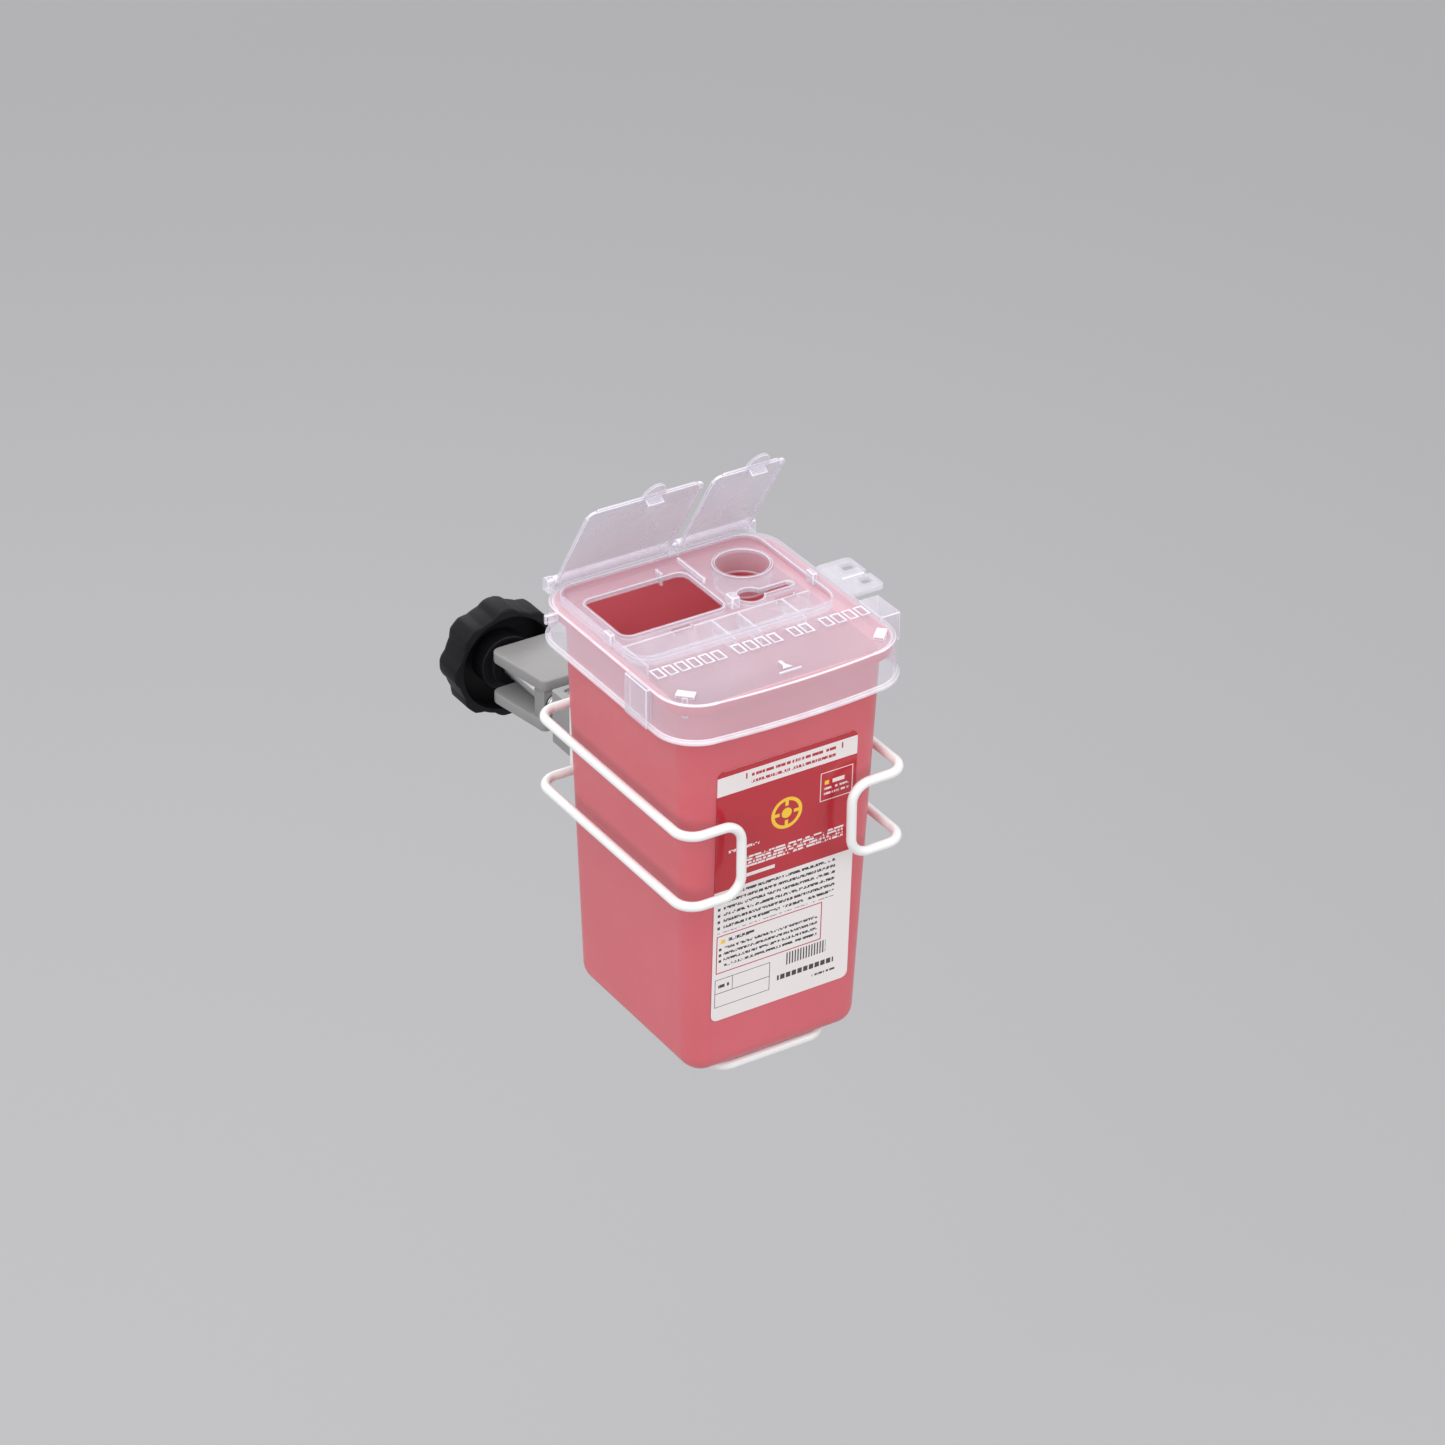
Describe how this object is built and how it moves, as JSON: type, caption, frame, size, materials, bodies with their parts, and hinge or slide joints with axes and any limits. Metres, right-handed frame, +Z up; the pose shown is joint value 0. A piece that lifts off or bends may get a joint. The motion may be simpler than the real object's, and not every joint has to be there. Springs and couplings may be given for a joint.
{
  "type": "sharps container in a pole holder",
  "caption": "Tapered translucent bin with a clear lid and hinged flaps, hung in a coated wire holder on a screw clamp for a round pole.",
  "frame": {"origin": "on the axis of the gripped pole, at the height of the clamp screw", "axes": "+Z up along the pole; the container and its label are towards -Y, the knob towards +Y; +X is to the right of someone facing the label"},
  "size_m": [0.1264, 0.2442, 0.2369],
  "materials": {
    "red_translucent_plastic": "translucent red moulding, satin",
    "label_film": "printed film, satin",
    "clear_plastic": "clear moulding, gloss",
    "white_coating": "white plastic coating, satin",
    "steel": "zinc plated",
    "grey_paint": "satin grey paint",
    "black_plastic": "fine matt moulding"
  },
  "bodies": {
    "holder": {"clamp_frame": "grey_paint", "back_plate": "white_coating", "left_guard_wire": "white_coating", "right_guard_wire": "white_coating", "support_wire": "white_coating", "left_mounting_screw": "steel", "right_mounting_screw": "steel", "left_mounting_washer": "steel", "right_mounting_washer": "steel"},
    "jaw": {"moving_jaw": "grey_paint", "jaw_set_screw": "steel"},
    "knob": {"clamp_knob": "black_plastic", "clamp_screw": "steel"},
    "container": {"container_body": "red_translucent_plastic", "front_label": "label_film"},
    "lid": {"lid": "clear_plastic"},
    "large_flap": {"large_flap": "clear_plastic"},
    "small_flap": {"small_flap": "clear_plastic"}
  },
  "joints": [
    {"name": "container_lift", "type": "slide", "parent": "holder", "child": "container", "axis": [0, 0, 1], "range_m": [0, 0.13]},
    {"name": "lid_lift", "type": "slide", "parent": "container", "child": "lid", "axis": [0, 0, 1], "range_m": [0, 0.02]},
    {"name": "large_flap_hinge", "type": "hinge", "parent": "lid", "child": "large_flap", "pos_m": [0, -0.03056, 0.1085], "axis": [1, 0, 0], "range_deg": [-52, 58]},
    {"name": "small_flap_hinge", "type": "hinge", "parent": "lid", "child": "small_flap", "pos_m": [0.028, -0.03056, 0.1085], "axis": [1, 0, 0], "range_deg": [-52, 58]},
    {"name": "jaw_travel", "type": "slide", "parent": "holder", "child": "jaw", "axis": [0, 1, 0], "range_m": [-0.0013, 0.0065]},
    {"name": "knob_turn", "type": "hinge", "parent": "jaw", "child": "knob", "pos_m": [0, 0.09, 0], "axis": [0, 1, 0], "range_deg": [-375, 1873]}
  ],
  "couplings": [
    {"joint": "knob_turn", "follows": "jaw_travel", "rad_per_m": 5026.5}
  ]
}
